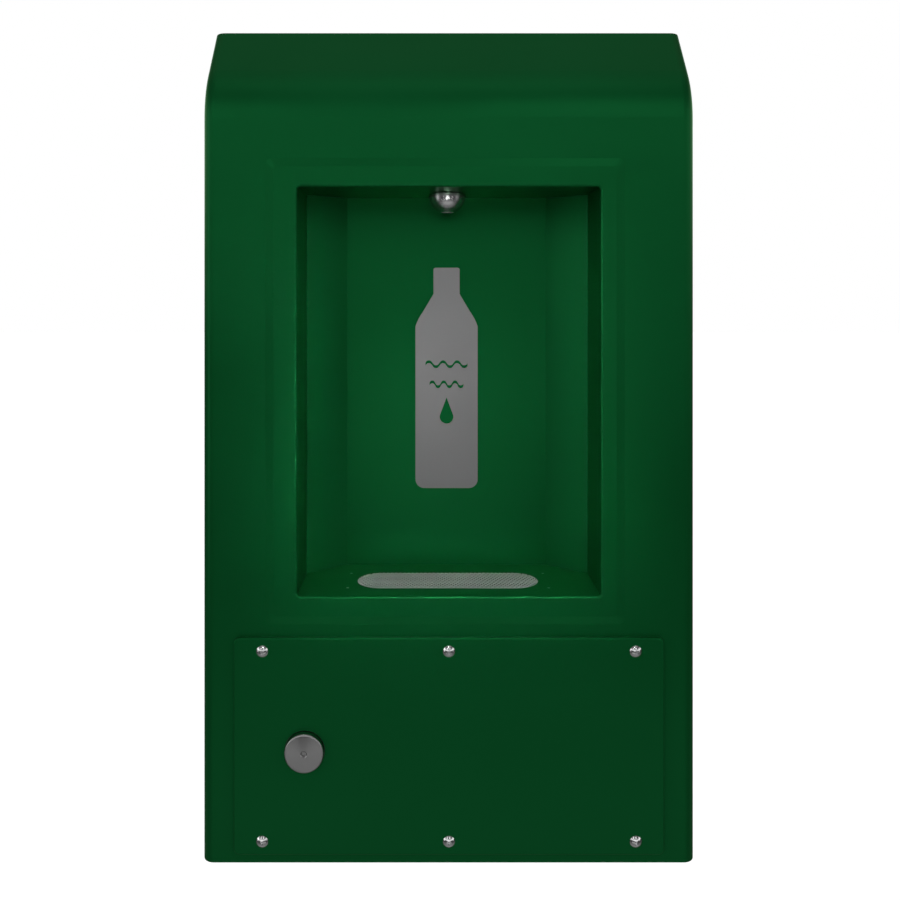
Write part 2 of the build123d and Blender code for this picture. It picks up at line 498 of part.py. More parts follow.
# ---- Push button: crowned cap with a small countersunk hole, stem pressed into it, end clip ----
bx, bz = BUTTON
SKIRT_BACK = -188.0
CROWN_R, RIM_ROUND = 200.0, 2.2     # the cap's face is slightly crowned, with a rounded rim
PIN_R, PIN_DEPTH, PIN_SINK = 2.6, 2.5, 0.9
cap = rod_y(bx, bz, BUTTON_R, BUTTON_FACE, SKIRT_BACK)
cap &= Pos(bx, BUTTON_FACE + CROWN_R, bz) * Sphere(CROWN_R)
cap = fillet(cap.edges().filter_by(GeomType.CIRCLE).sort_by(Axis.Y)[:1], RIM_ROUND)
cap -= rod_y(bx, bz, BUTTON_R - 3, CAP_BACK, SKIRT_BACK + 1)
cap -= rod_y(bx, bz, PIN_R, BUTTON_FACE - 1, BUTTON_FACE + PIN_DEPTH)
pin_rim = [e for e in cap.edges().filter_by(GeomType.CIRCLE) if abs(e.radius - PIN_R) < 0.01]
cap = chamfer(ShapeList(pin_rim).sort_by(Axis.Y)[:1], PIN_SINK)
cap += rod_y(bx, bz, 7.5, CAP_BACK - 0.5, CAP_BACK + 6) - rod_y(bx, bz, STEM_R, CAP_BACK + 0.5, CAP_BACK + 7)
cap -= rod_y(bx, bz, STEM_R, CAP_BACK - 0.5, CAP_BACK + 7)
save("push_button", cap)
CHAMBER_FRONT, CHAMBER_BACK = -150.0, -98.0
STEM_END = -118.0
clip_y = CHAMBER_FRONT + 0.3
button_stem = rod_y(bx, bz, STEM_R, CAP_BACK - 0.5, STEM_END)
groove_core = rod_y(bx, bz, STEM_R - 1, clip_y - 1, clip_y + 2)
button_stem -= rod_y(bx, bz, STEM_R + 1, clip_y, clip_y + 1) - groove_core
save("button_stem", button_stem)
save("stem_clip", rod_y(bx, bz, 8, clip_y, clip_y + 1) - rod_y(bx, bz, STEM_R - 1, clip_y - 1, clip_y + 2))

# ---- Guide sleeve behind the panel, in which the cap slides ----
GUIDE_FRONT = PANEL_FACE + SHEET
guide = rod_y(bx, bz, 24, GUIDE_FRONT, -176) + rod_y(bx, bz, 26, GUIDE_FRONT, GUIDE_FRONT + 2)
save("button_guide", guide - rod_y(bx, bz, BUTTON_R + RUNNING, GUIDE_FRONT - 1, -175))

# ---- Valve bracket: bent strip whose feet are held to the panel by weld studs and nuts ----
FOOT_Z, LEG_Z, STRIP = 54.0, 38.0, 2.0
bracket_w = 48.0


def mirrored_block(y0, y1, z0, z1):
    """The same strip of the bracket above and below the button's axis."""
    halves = [block(bx - bracket_w / 2, bx + bracket_w / 2, y0, y1, bz + a, bz + b)
              for a, b in ((z0, z1), (-z1, -z0))]
    return halves[0] + halves[1]


hat = block(bx - bracket_w / 2, bx + bracket_w / 2, WEB_Y, WEB_Y + STRIP, bz - LEG_Z, bz + LEG_Z)
hat += mirrored_block(GUIDE_FRONT, WEB_Y + STRIP, LEG_Z - STRIP, LEG_Z)
hat += mirrored_block(GUIDE_FRONT, GUIDE_FRONT + STRIP, LEG_Z - STRIP, FOOT_Z)
NECK_R = 14.0
hat -= rod_y(bx, bz, NECK_R + 0.3, WEB_Y - 1, WEB_Y + STRIP + 1)
HAT_STUDS = [(bx + i * 16, bz + j * 46) for i in (-1, 1) for j in (-1, 1)]
for x, z in HAT_STUDS:
    hat -= rod_y(x, z, 2.3, GUIDE_FRONT - 1, GUIDE_FRONT + 3)
save("valve_bracket", hat)
save("bracket_studs", *[rod_y(x, z, 2.0, GUIDE_FRONT, GUIDE_FRONT + 10) for x, z in HAT_STUDS])
save("bracket_nuts", *[
    hex_y(x, z, 7, GUIDE_FRONT + STRIP, GUIDE_FRONT + STRIP + 3.2)
    - rod_y(x, z, 2.0, GUIDE_FRONT, GUIDE_FRONT + 6) for x, z in HAT_STUDS
])

# ---- Self-closing valve: threaded neck through the bracket, ports below and above ----
BODY_FACE, NECK_FRONT = WEB_Y + STRIP, WEB_Y - 5.0
valve = rod_y(bx, bz, 22, BODY_FACE, -90) + rod_y(bx, bz, NECK_R, NECK_FRONT, BODY_FACE)
PORT_REACH = 38.0
valve += rod_z(bx, PORT_Y, 9, bz - PORT_REACH, bz + PORT_REACH)
valve -= rod_y(bx, bz, STEM_R + RUNNING, NECK_FRONT - 1, CHAMBER_FRONT + 1)
valve -= rod_y(bx, bz, 9, CHAMBER_FRONT, CHAMBER_BACK)
valve -= rod_z(bx, PORT_Y, 3, bz - PORT_REACH - 1, bz + PORT_REACH + 1)
for end in (-1, 1):
    z0, z1 = sorted((bz + end * 26, bz + end * (PORT_REACH + 1)))
    valve -= rod_z(bx, PORT_Y, TUBE_R, z0, z1)
save("valve_body", valve)
lock_nut = hex_y(bx, bz, 34, NECK_FRONT + 0.5, WEB_Y) - rod_y(bx, bz, NECK_R, NECK_FRONT - 1, WEB_Y + 1)
save("valve_lock_nut", lock_nut)

# ---- Return spring round the stem, between the cap and the valve's neck ----
COIL_R, WIRE_R, TURNS = 9.0, 0.8, 6
spring_start, spring_end = CAP_BACK + WIRE_R + 0.1, NECK_FRONT - WIRE_R - 0.1
coil = Helix((spring_end - spring_start) / TURNS, spring_end - spring_start, COIL_R)
wire = sweep(Plane(origin=coil @ 0, z_dir=coil % 0) * Circle(WIRE_R), path=coil, is_frenet=True)
save("return_spring", Pos(bx, spring_start, bz) * Rot(-90, 0, 0) * wire)

# ---- Tubes: wall valve to filter, filter to button valve, button valve to nozzle ----
inlet_tube = tube([(*outlet, INLET[1] + 9), (*outlet, head_z), (fx - 37, fy, head_z)],
                  [22], TUBE_R, 1.0)
LOW_RUN = 34.0
filtered_route = [
    (fx, fy - 35, head_z), (fx, PORT_Y, head_z), (fx, PORT_Y, LOW_RUN), (bx, PORT_Y, LOW_RUN),
    (bx, PORT_Y, bz - 27),
]
filtered_tube = tube(filtered_route, [14, 24, 24], TUBE_R, 1.0)
nozzle_route = [
    (bx, PORT_Y, bz + 27), (bx, PORT_Y, ELBOW_Z), (bx + 62, NOZZLE_Y, ELBOW_Z), (-15, NOZZLE_Y, ELBOW_Z),
]
nozzle_tube = tube(nozzle_route, [24, 40], TUBE_R, 1.0)
save("inlet_tube", inlet_tube)
save("filtered_tube", filtered_tube)
save("nozzle_tube", nozzle_tube)
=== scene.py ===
from math import atan, atan2, cos, pi, radians, sin

import bpy
import bmesh
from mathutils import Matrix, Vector


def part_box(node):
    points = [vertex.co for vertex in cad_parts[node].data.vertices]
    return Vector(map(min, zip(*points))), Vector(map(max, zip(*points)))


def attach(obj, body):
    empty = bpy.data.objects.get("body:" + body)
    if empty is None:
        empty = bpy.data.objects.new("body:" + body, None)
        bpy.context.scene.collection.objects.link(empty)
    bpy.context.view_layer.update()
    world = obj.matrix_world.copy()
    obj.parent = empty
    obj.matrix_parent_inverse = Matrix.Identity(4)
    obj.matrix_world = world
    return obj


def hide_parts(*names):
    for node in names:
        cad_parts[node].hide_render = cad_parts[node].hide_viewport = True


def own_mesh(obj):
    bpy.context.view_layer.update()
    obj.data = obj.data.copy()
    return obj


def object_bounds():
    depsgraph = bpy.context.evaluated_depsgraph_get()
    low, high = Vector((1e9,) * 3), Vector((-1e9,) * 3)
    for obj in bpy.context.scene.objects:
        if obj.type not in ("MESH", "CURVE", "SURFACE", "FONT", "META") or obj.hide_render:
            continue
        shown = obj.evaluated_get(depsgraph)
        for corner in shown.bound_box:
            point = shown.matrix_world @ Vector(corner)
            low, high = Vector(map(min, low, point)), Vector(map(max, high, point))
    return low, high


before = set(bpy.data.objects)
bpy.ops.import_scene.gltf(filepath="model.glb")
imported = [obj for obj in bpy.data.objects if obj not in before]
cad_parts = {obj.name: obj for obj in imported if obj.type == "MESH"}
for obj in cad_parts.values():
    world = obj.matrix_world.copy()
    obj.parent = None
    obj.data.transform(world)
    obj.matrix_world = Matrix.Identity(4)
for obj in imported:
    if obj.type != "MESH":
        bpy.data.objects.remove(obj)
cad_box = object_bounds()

# ---- Camera: a level view from a little left of centre, at the height of the recess's upper half.
# The camera is held level so that the cabinet's sides stay parallel, and its lens is shifted down
# and to the side to frame the whole cabinet. The 36 mm height of its sensor sets the field of view.
FRONT_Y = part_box("housing_shell")[0].y
EYE_X, EYE_DISTANCE, EYE_HEIGHT = -0.0225, 0.891, 0.141
camera_data = bpy.data.cameras.new("camera")
camera_data.sensor_fit = "VERTICAL"
camera_data.sensor_width, camera_data.sensor_height = 24, 36
camera_data.lens = 34.8
camera_data.shift_x, camera_data.shift_y = 0.0257, -0.172
camera = bpy.data.objects.new("camera", camera_data)
camera.location = (EYE_X, FRONT_Y - EYE_DISTANCE, EYE_HEIGHT)
camera.rotation_euler = (radians(90), 0, 0)
bpy.context.collection.objects.link(camera)
bpy.context.scene.camera = camera
bpy.context.scene.view_settings.view_transform = "Standard"


# ---- Studio: a pale floor well below the hanging cabinet, and a room whose light comes in soft
# bands at different heights. The camera sees a plain white backdrop in place of the room.
FLOOR_DROP, FLOOR_SIZE = 0.75, 60
bpy.ops.object.select_all(action="DESELECT")
bpy.ops.mesh.primitive_plane_add(size=FLOOR_SIZE, location=(0, 0, cad_box[0].z - FLOOR_DROP))
floor = bpy.context.object
floor.name = "studio_floor"
floor_mat = bpy.data.materials.new("pale_floor")
floor_mat.use_nodes = True
floor_shader = floor_mat.node_tree.nodes["Principled BSDF"]
floor_shader.inputs["Base Color"].default_value = (0.86, 0.86, 0.86, 1)
floor_shader.inputs["Roughness"].default_value = 0.9
floor_shader.inputs["Specular IOR Level"].default_value = 0.1
floor_shader.inputs["Emission Color"].default_value = (1, 1, 1, 1)
floor_shader.inputs["Emission Strength"].default_value = 0.75
floor.data.materials.append(floor_mat)
floor.visible_diffuse = floor.visible_glossy = False

world = bpy.data.worlds.new("studio")
bpy.context.scene.world = world
world.use_nodes = True
room = world.node_tree
room.nodes.clear()
world_out = room.nodes.new("ShaderNodeOutputWorld")
world_mix = room.nodes.new("ShaderNodeMixShader")
room_light = room.nodes.new("ShaderNodeBackground")
sky_coords = room.nodes.new("ShaderNodeTexCoord")
sky_axes = room.nodes.new("ShaderNodeSeparateXYZ")
sky_height = room.nodes.new("ShaderNodeMapRange")
sky_height.inputs["From Min"].default_value = -1.0
sky_bands = room.nodes.new("ShaderNodeValToRGB")
# brightness of the room, from straight down (0) through the horizon (0.5) to straight up (1)
BELOW, ABOVE = 0.20, 0.28
ROOM_BANDS = [(0.40, 0.02), (0.50, 0.03), (0.60, 1.0), (0.68, 0.36), (0.78, 0.03)]
bands = sky_bands.color_ramp.elements
bands[0].color = (BELOW, BELOW, BELOW, 1)
bands[1].color = (ABOVE, ABOVE, ABOVE, 1)
for height, glow in ROOM_BANDS:
    bands.new(height).color = (glow, glow, glow, 1)
room.links.new(sky_coords.outputs["Generated"], sky_axes.inputs["Vector"])
room.links.new(sky_axes.outputs["Z"], sky_height.inputs["Value"])
room.links.new(sky_height.outputs["Result"], sky_bands.inputs["Fac"])
room.links.new(sky_bands.outputs["Color"], room_light.inputs["Color"])
room_light.inputs["Strength"].default_value = 1.4
backdrop = room.nodes.new("ShaderNodeBackground")
backdrop.inputs["Color"].default_value = (1, 1, 1, 1)
backdrop.inputs["Strength"].default_value = 1.0
light_path = room.nodes.new("ShaderNodeLightPath")
room.links.new(light_path.outputs["Is Camera Ray"], world_mix.inputs["Fac"])
room.links.new(room_light.outputs["Background"], world_mix.inputs[1])
room.links.new(backdrop.outputs["Background"], world_mix.inputs[2])
room.links.new(world_mix.outputs["Shader"], world_out.inputs["Surface"])


def softbox(name, place, aim, size, watts, beam=180):
    """A white rectangular area light at place, turned to face aim; beam is its width in degrees."""
    light = bpy.data.lights.new(name, "AREA")
    light.shape = "RECTANGLE"
    light.size, light.size_y = size
    light.energy = watts
    light.spread = radians(beam)
    lamp = bpy.data.objects.new(name, light)
    lamp.location = place
    lamp.rotation_euler = (Vector(aim) - Vector(place)).to_track_quat("-Z", "Y").to_euler()
    bpy.context.collection.objects.link(lamp)


softbox("key_left", place=(-1.2, -2.5, 1.5), aim=(0, -0.2, 0.1), size=(0.8, 0.8), watts=3.2)
softbox("key_right", place=(0.6, -2.5, 1.5), aim=(0, -0.2, 0.1), size=(0.8, 0.8), watts=3.2)
softbox("front_fill", place=(-0.6, -3.2, 0.3), aim=(0, -0.2, 0), size=(1.6, 1.4), watts=1.7)
softbox("left_strip", place=(-2.2, -1.1, 0.2), aim=(0, -0.15, 0), size=(0.5, 2.0), watts=3.4)
softbox("right_strip", place=(2.2, -1.3, 0.2), aim=(0, -0.15, 0), size=(0.5, 2.0), watts=1.6)
softbox("low_bounce", place=(0, -1.1, -0.85), aim=(0, -0.15, 0.1), size=(1.6, 0.5), watts=0.9)
softbox("top_soft", place=(0, -0.9, 1.5), aim=(0, -0.2, 0), size=(1.2, 0.4), watts=1.0)
# narrow beams through the opening, which light the recess without lighting the panel below it
softbox("low_beam", place=(0, -2.2, -0.45), aim=(0, -0.12, 0.16), size=(0.3, 0.3),
        watts=0.06, beam=16)
softbox("floor_beam", place=(0, -1.25, 1.15), aim=(0, -0.165, -0.155), size=(0.34, 0.08),
        watts=0.09, beam=7)
softbox("left_wall_beam", place=(1.1, -1.6, 0.06), aim=(-0.15, -0.165, 0.04), size=(0.06, 0.36),
        watts=0.05, beam=6)
softbox("right_wall_beam", place=(-1.1, -1.6, 0.06), aim=(0.15, -0.165, 0.04), size=(0.06, 0.36),
        watts=0.04, beam=6)


# ---- Cabinet sheet metal: folded steel with a deep green coat over a fine satin grain.
# The hood, front and sides are one wrap; the recess, its raised surround and the screwed access
# panel are separate sheets with the same coat.
def group_socket(group, name, kind, way, value=None):
    socket = group.interface.new_socket(name=name, in_out=way, socket_type=kind)
    if value is not None:
        socket.default_value = value


def make_grain_group():
    """Fine rolled grain as a height, and a slow faint cloudiness, both fixed to the piece."""
    group = bpy.data.node_groups.new("satin_grain", "ShaderNodeTree")
    group_socket(group, "Fine Scale", "NodeSocketFloat", "INPUT", 900.0)
    group_socket(group, "Stretch", "NodeSocketVector", "INPUT", (1.0, 1.0, 1.0))
    group_socket(group, "Height", "NodeSocketFloat", "OUTPUT")
    group_socket(group, "Cloud", "NodeSocketFloat", "OUTPUT")
    nodes, links = group.nodes, group.links
    entry, leave = nodes.new("NodeGroupInput"), nodes.new("NodeGroupOutput")
    coords = nodes.new("ShaderNodeTexCoord")
    stretch = nodes.new("ShaderNodeVectorMath")
    stretch.operation = "MULTIPLY"
    fine = nodes.new("ShaderNodeTexNoise")
    fine.inputs["Detail"].default_value = 3.0
    cloud = nodes.new("ShaderNodeTexNoise")
    cloud.inputs["Scale"].default_value = 5.5
    cloud.inputs["Detail"].default_value = 2.5
    links.new(coords.outputs["Object"], stretch.inputs[0])
    links.new(entry.outputs["Stretch"], stretch.inputs[1])
    links.new(stretch.outputs["Vector"], fine.inputs["Vector"])
    links.new(entry.outputs["Fine Scale"], fine.inputs["Scale"])
    links.new(coords.outputs["Object"], cloud.inputs["Vector"])
    links.new(fine.outputs["Fac"], leave.inputs["Height"])
    links.new(cloud.outputs["Fac"], leave.inputs["Cloud"])
    return group


grain_group = make_grain_group()


def satin_finish(name, dark, light, rough, bump, grain_scale, metallic=1.0, stretch=(1, 1, 1),
                 swell=0.0):
    """A sheet or moulded finish: colour drifts between two close tones, gloss drifts with it, grain
    gives the bump, and swell is the height of the slow waviness of a large sheet."""
    gloss_drift = 0.08
    mat = bpy.data.materials.new(name)
    mat.use_nodes = True
    nodes, links = mat.node_tree.nodes, mat.node_tree.links
    shader = nodes["Principled BSDF"]
    shader.inputs["Metallic"].default_value = metallic
    grain = nodes.new("ShaderNodeGroup")
    grain.node_tree = grain_group
    grain.inputs["Fine Scale"].default_value = grain_scale
    grain.inputs["Stretch"].default_value = stretch
    tone = nodes.new("ShaderNodeMix")
    tone.data_type = "RGBA"
    tone.inputs["A"].default_value = (*dark, 1)
    tone.inputs["B"].default_value = (*light, 1)
    gloss = nodes.new("ShaderNodeMapRange")
    gloss.inputs["From Min"].default_value = 0.3
    gloss.inputs["From Max"].default_value = 0.7
    gloss.inputs["To Min"].default_value = rough - gloss_drift / 2
    gloss.inputs["To Max"].default_value = rough + gloss_drift / 2
    relief = nodes.new("ShaderNodeBump")
    relief.inputs["Strength"].default_value = bump
    relief.inputs["Distance"].default_value = 0.0002
    links.new(grain.outputs["Cloud"], tone.inputs["Factor"])
    links.new(grain.outputs["Cloud"], gloss.inputs["Value"])
    links.new(grain.outputs["Height"], relief.inputs["Height"])
    links.new(tone.outputs["Result"], shader.inputs["Base Color"])
    links.new(gloss.outputs["Result"], shader.inputs["Roughness"])
    links.new(relief.outputs["Normal"], shader.inputs["Normal"])
    if swell:
        waviness = nodes.new("ShaderNodeBump")
        waviness.inputs["Distance"].default_value = swell
        links.new(grain.outputs["Cloud"], waviness.inputs["Height"])
        links.new(waviness.outputs["Normal"], relief.inputs["Normal"])
    return mat


def dress(mat, *names):
    """Give CAD nodes one material."""
    for name in names:
        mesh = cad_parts[name].data
        mesh.materials.clear()
        mesh.materials.append(mat)


green_coat = satin_finish("green_coat", dark=(0.003, 0.085, 0.019), light=(0.0045, 0.104, 0.026),
                          rough=0.34, bump=0.12, grain_scale=1400, metallic=0.35, swell=0.003)
coat_shader = green_coat.node_tree.nodes["Principled BSDF"]
coat_shader.inputs["Specular IOR Level"].default_value = 0.2
coat_shader.inputs["Specular Tint"].default_value = (0.1, 1, 0.35, 1)
dress(green_coat, "housing_shell", "alcove_liner", "alcove_surround", "access_panel")

# ---- Satin stainless: the bottle-shaped sign, cut from sheet and held by studs to the back wall of
# the recess, and the drain tray and waste fitting under the grille. The grain runs upright.
satin_steel = satin_finish("satin_steel", dark=(0.19, 0.19, 0.19), light=(0.22, 0.22, 0.22),
                           rough=0.42, bump=0.15, grain_scale=1600, stretch=(1, 1, 0.12))
dress(satin_steel, "bottle_sign", "drain_tray", "waste_fitting")

# ---- Drain grille: thin stainless plate with fine staggered perforations that run out to its edge,
# laid in the slot of the recess floor. One punched cell is repeated, then the sheet is cut to the
# slot's straight-sided, round-ended outline.
PUNCH_PITCH, PUNCH_R, PUNCH_SIDES = 0.0046, 0.00155, 12
ROUND_END_SIDES, CELL_GAP, SPARE_CELLS, SPARE_ROWS = 96, 0.00005, 4, 2
grille_low, grille_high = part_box("drain_grille")
grille_mid = (grille_low + grille_high) / 2
end_r = (grille_high.y - grille_low.y) / 2
straight_half = (grille_high.x - grille_low.x) / 2 - end_r
plate_t = grille_high.z - grille_low.z
row_gap = PUNCH_PITCH * cos(pi / 6)
# the sheet is made a few cells larger than the outline that it is cut to
across_cells = int((straight_half + end_r) * 2 / PUNCH_PITCH) + SPARE_CELLS
row_pairs = int(end_r / row_gap) + SPARE_ROWS
# one cell: the hole's rim, extruded out to the hexagon that the hole has to itself
bpy.ops.object.select_all(action="DESELECT")
bpy.ops.mesh.primitive_circle_add(vertices=PUNCH_SIDES, radius=PUNCH_R)
plate = bpy.context.object
plate.name = "drain_plate"
bpy.ops.object.mode_set(mode="EDIT")
bpy.ops.mesh.select_all(action="SELECT")
bpy.ops.mesh.extrude_region_move()
bpy.ops.object.mode_set(mode="OBJECT")
for v in plate.data.vertices:
    if v.select:
        turn = (atan2(v.co.y, v.co.x) + pi / 6) % (pi / 3) - pi / 6
        v.co *= PUNCH_PITCH / 2 / cos(turn) / v.co.length
# a second cell, half a pitch along in the next row, and then the pair repeated both ways
bpy.ops.object.mode_set(mode="EDIT")
bpy.ops.mesh.select_all(action="SELECT")
bpy.ops.mesh.duplicate()
bpy.ops.transform.translate(value=(PUNCH_PITCH / 2, row_gap, 0))
bpy.ops.object.mode_set(mode="OBJECT")
for count, step in ((across_cells, (PUNCH_PITCH, 0, 0)), (row_pairs, (0, 2 * row_gap, 0))):
    repeat = plate.modifiers.new("repeat", "ARRAY")
    repeat.use_relative_offset = False
    repeat.use_constant_offset = True
    repeat.constant_offset_displace = step
    repeat.count = count
    bpy.ops.object.modifier_apply(modifier="repeat")
plate.location = (grille_mid.x - (across_cells - 0.5) * PUNCH_PITCH / 2,
                  grille_mid.y - (row_pairs - 0.5) * row_gap, grille_high.z)
bpy.ops.object.transform_apply(location=True, rotation=True, scale=True)
bpy.ops.object.mode_set(mode="EDIT")
bpy.ops.mesh.select_all(action="SELECT")
bpy.ops.mesh.remove_doubles(threshold=CELL_GAP)
bpy.ops.mesh.normals_make_consistent(inside=False)
bpy.ops.object.mode_set(mode="OBJECT")
if plate.data.polygons[0].normal.z < 0:
    plate.data.flip_normals()
thicken = plate.modifiers.new("thicken", "SOLIDIFY")
thicken.thickness = plate_t
thicken.offset = -1
bpy.ops.object.modifier_apply(modifier="thicken")
# the outline: a cylinder pulled apart in the middle, tall enough to pass through the sheet
bpy.ops.object.select_all(action="DESELECT")
bpy.ops.mesh.primitive_cylinder_add(vertices=ROUND_END_SIDES, radius=end_r, depth=plate_t * 3,
                                    location=grille_mid)
outline = bpy.context.object
bpy.ops.object.transform_apply(location=True, rotation=True, scale=True)
for v in outline.data.vertices:
    v.co.x += straight_half if v.co.x > grille_mid.x else -straight_half
bpy.ops.object.select_all(action="DESELECT")
plate.select_set(True)
bpy.context.view_layer.objects.active = plate
cut = plate.modifiers.new("cut", "BOOLEAN")
cut.operation = "INTERSECT"
cut.object = outline
bpy.ops.object.modifier_apply(modifier="cut")
bpy.data.objects.remove(outline)
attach(plate, "cabinet")
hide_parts("drain_grille")
plate_steel = satin_finish("plate_steel", dark=(0.62, 0.62, 0.62), light=(0.70, 0.70, 0.70),
                           rough=0.62, bump=0.10, grain_scale=1500)
plate.data.materials.clear()
plate.data.materials.append(plate_steel)

# ---- Push button: a stainless cap turned on a lathe, crowned, with a rounded rim, fine turning
# marks on its face and a small countersunk hole. It is pressed on its stem and slides in a sleeve.
LATHE_STEPS, WELD_GAP, SHARP_EDGE = 96, 0.000002, 30


def turned(name, profile, foot, along, across):
    """A turned solid: its half profile, as radius and height, spun about the axis through foot."""
    bpy.ops.object.select_all(action="DESELECT")
    bpy.ops.mesh.primitive_circle_add(vertices=len(profile), radius=0.01)
    piece = bpy.context.object
    piece.name = name
    for v, (radius, height) in zip(piece.data.vertices, profile):
        v.co = foot + across * radius + along * height
    bpy.ops.object.mode_set(mode="EDIT")
    bpy.ops.mesh.select_mode(type="EDGE")
    bpy.ops.mesh.select_all(action="DESELECT")
    if profile[0][0] == profile[-1][0] == 0:
        # a profile that starts and ends on the axis has no edge along it
        bm = bmesh.from_edit_mesh(piece.data)
        bm.verts.ensure_lookup_table()
        bm.edges.get((bm.verts[0], bm.verts[-1])).select = True
        bmesh.update_edit_mesh(piece.data)
        bpy.ops.mesh.delete(type="EDGE")
    bpy.ops.mesh.select_all(action="SELECT")
    bpy.ops.mesh.spin(steps=LATHE_STEPS, angle=2 * pi, center=foot, axis=along)
    bpy.ops.mesh.select_all(action="SELECT")
    bpy.ops.mesh.remove_doubles(threshold=WELD_GAP)
    bpy.ops.mesh.normals_make_consistent(inside=False)
    bpy.ops.object.mode_set(mode="OBJECT")
    bpy.ops.object.shade_smooth_by_angle(angle=radians(SHARP_EDGE))
    return piece


def turned_steel(name, dark, light, rough, axis):
    """Stainless with its highlights drawn out across the turning marks round the given axis."""
    mat = satin_finish(name, dark, light, rough, bump=0.05, grain_scale=1200)
    shader = mat.node_tree.nodes["Principled BSDF"]
    shader.inputs["Anisotropic"].default_value = 0.85
    around = mat.node_tree.nodes.new("ShaderNodeTangent")
    around.direction_type = "RADIAL"
    around.axis = axis
    mat.node_tree.links.new(around.outputs["Tangent"], shader.inputs["Tangent"])
    return mat


# heights run inwards from the crown's top; the face is followed from its centre out to the rim
MARK_PITCH, MARK_DEPTH, MARK_POINTS = 0.0005, 0.00001, 5
CAP_R, CAP_LENGTH, CROWN_R, RIM_ROUND, RIM_STEPS = 0.020, 0.025, 0.200, 0.0022, 9
PIN_R, PIN_DEPTH, SINK_R, SINK_EDGE = 0.0026, 0.0025, 0.0035, 0.00003
CAP_WALL, CAP_T, BOSS_R, BOSS_H = 0.003, 0.004, 0.0075, 0.010
STEM_R, STEM_SEAT = 0.005, 0.0035
cap_low, cap_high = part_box("push_button")
cap_foot = Vector(((cap_low.x + cap_high.x) / 2, cap_high.y - CAP_LENGTH,
                   (cap_low.z + cap_high.z) / 2))
cap_profile = [(0, PIN_DEPTH), (PIN_R, PIN_DEPTH), (PIN_R, SINK_R - PIN_R), (SINK_R, SINK_EDGE)]
mark_steps = int((CAP_R - RIM_ROUND - SINK_R) / (MARK_PITCH / MARK_POINTS))
for i in range(1, mark_steps + 1):
    r = SINK_R + i * MARK_PITCH / MARK_POINTS
    mark = MARK_DEPTH * (1 - cos(2 * pi * r / MARK_PITCH))
    cap_profile.append((r, r * r / (2 * CROWN_R) + mark))
rim_high = (CAP_R - RIM_ROUND) ** 2 / (2 * CROWN_R)
for i in range(1, RIM_STEPS + 1):
    turn = i * pi / (2 * RIM_STEPS)
    cap_profile.append((CAP_R - RIM_ROUND * (1 - sin(turn)),
                        rim_high + RIM_ROUND * (1 - cos(turn))))
cap_profile += [(CAP_R, CAP_LENGTH), (CAP_R - CAP_WALL, CAP_LENGTH), (CAP_R - CAP_WALL, CAP_T),
                (BOSS_R, CAP_T), (BOSS_R, BOSS_H), (STEM_R, BOSS_H), (STEM_R, STEM_SEAT),
                (0, STEM_SEAT)]
button_cap = turned("button_cap", cap_profile, cap_foot, Vector((0, 1, 0)), Vector((1, 0, 0)))
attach(button_cap, "button")
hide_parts("push_button")
button_steel = turned_steel("button_steel", dark=(0.34, 0.34, 0.34), light=(0.38, 0.38, 0.38),
                            rough=0.34, axis="Y")
button_cap.data.materials.append(button_steel)
dress(button_steel, "button_stem")

# ---- Nozzle: a stainless half sphere turned from bar, hung from the recess ceiling on its
# threaded stem, with fine turning marks round it and an open mouth for the flow straightener.
DOME_R, DOME_BAND, MOUTH_R, BORE_R = 0.020, 0.0015, 0.0085, 0.007
dome_low, dome_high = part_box("nozzle_dome")
dome_foot = Vector(((dome_low.x + dome_high.x) / 2, (dome_low.y + dome_high.y) / 2, dome_high.z))
# heights run down from the ceiling: a short straight band, then the sphere as far as the mouth
dome_profile = [(BORE_R, 0), (DOME_R, 0)]
mouth_turn = atan((DOME_R ** 2 - MOUTH_R ** 2) ** 0.5 / MOUTH_R)
dome_steps = int(DOME_R * mouth_turn / (MARK_PITCH / MARK_POINTS))
for i in range(dome_steps + 1):
    turn = mouth_turn * i / dome_steps
    r = DOME_R - MARK_DEPTH * (1 - cos(2 * pi * DOME_R * turn / MARK_PITCH))
    dome_profile.append((r * cos(turn), DOME_BAND + r * sin(turn)))
dome_profile.append((BORE_R, dome_profile[-1][1]))
nozzle_cup = turned("nozzle_cup", dome_profile, dome_foot, Vector((0, 0, -1)), Vector((1, 0, 0)))
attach(nozzle_cup, "cabinet")
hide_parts("nozzle_dome")
nozzle_steel = turned_steel("nozzle_steel", dark=(0.52, 0.52, 0.53), light=(0.60, 0.60, 0.60),
                            rough=0.22, axis="Z")
nozzle_cup.data.materials.append(nozzle_steel)

# ---- Security screws: polished stainless domes with a hexagon socket and a pin in it. Six of them
# hold the access panel, each in a nut behind the sheet.
bright_steel = satin_finish("bright_steel", dark=(0.60, 0.60, 0.61), light=(0.68, 0.68, 0.68),
                            rough=0.16, bump=0.05, grain_scale=1200)
dress(bright_steel, "panel_screws")

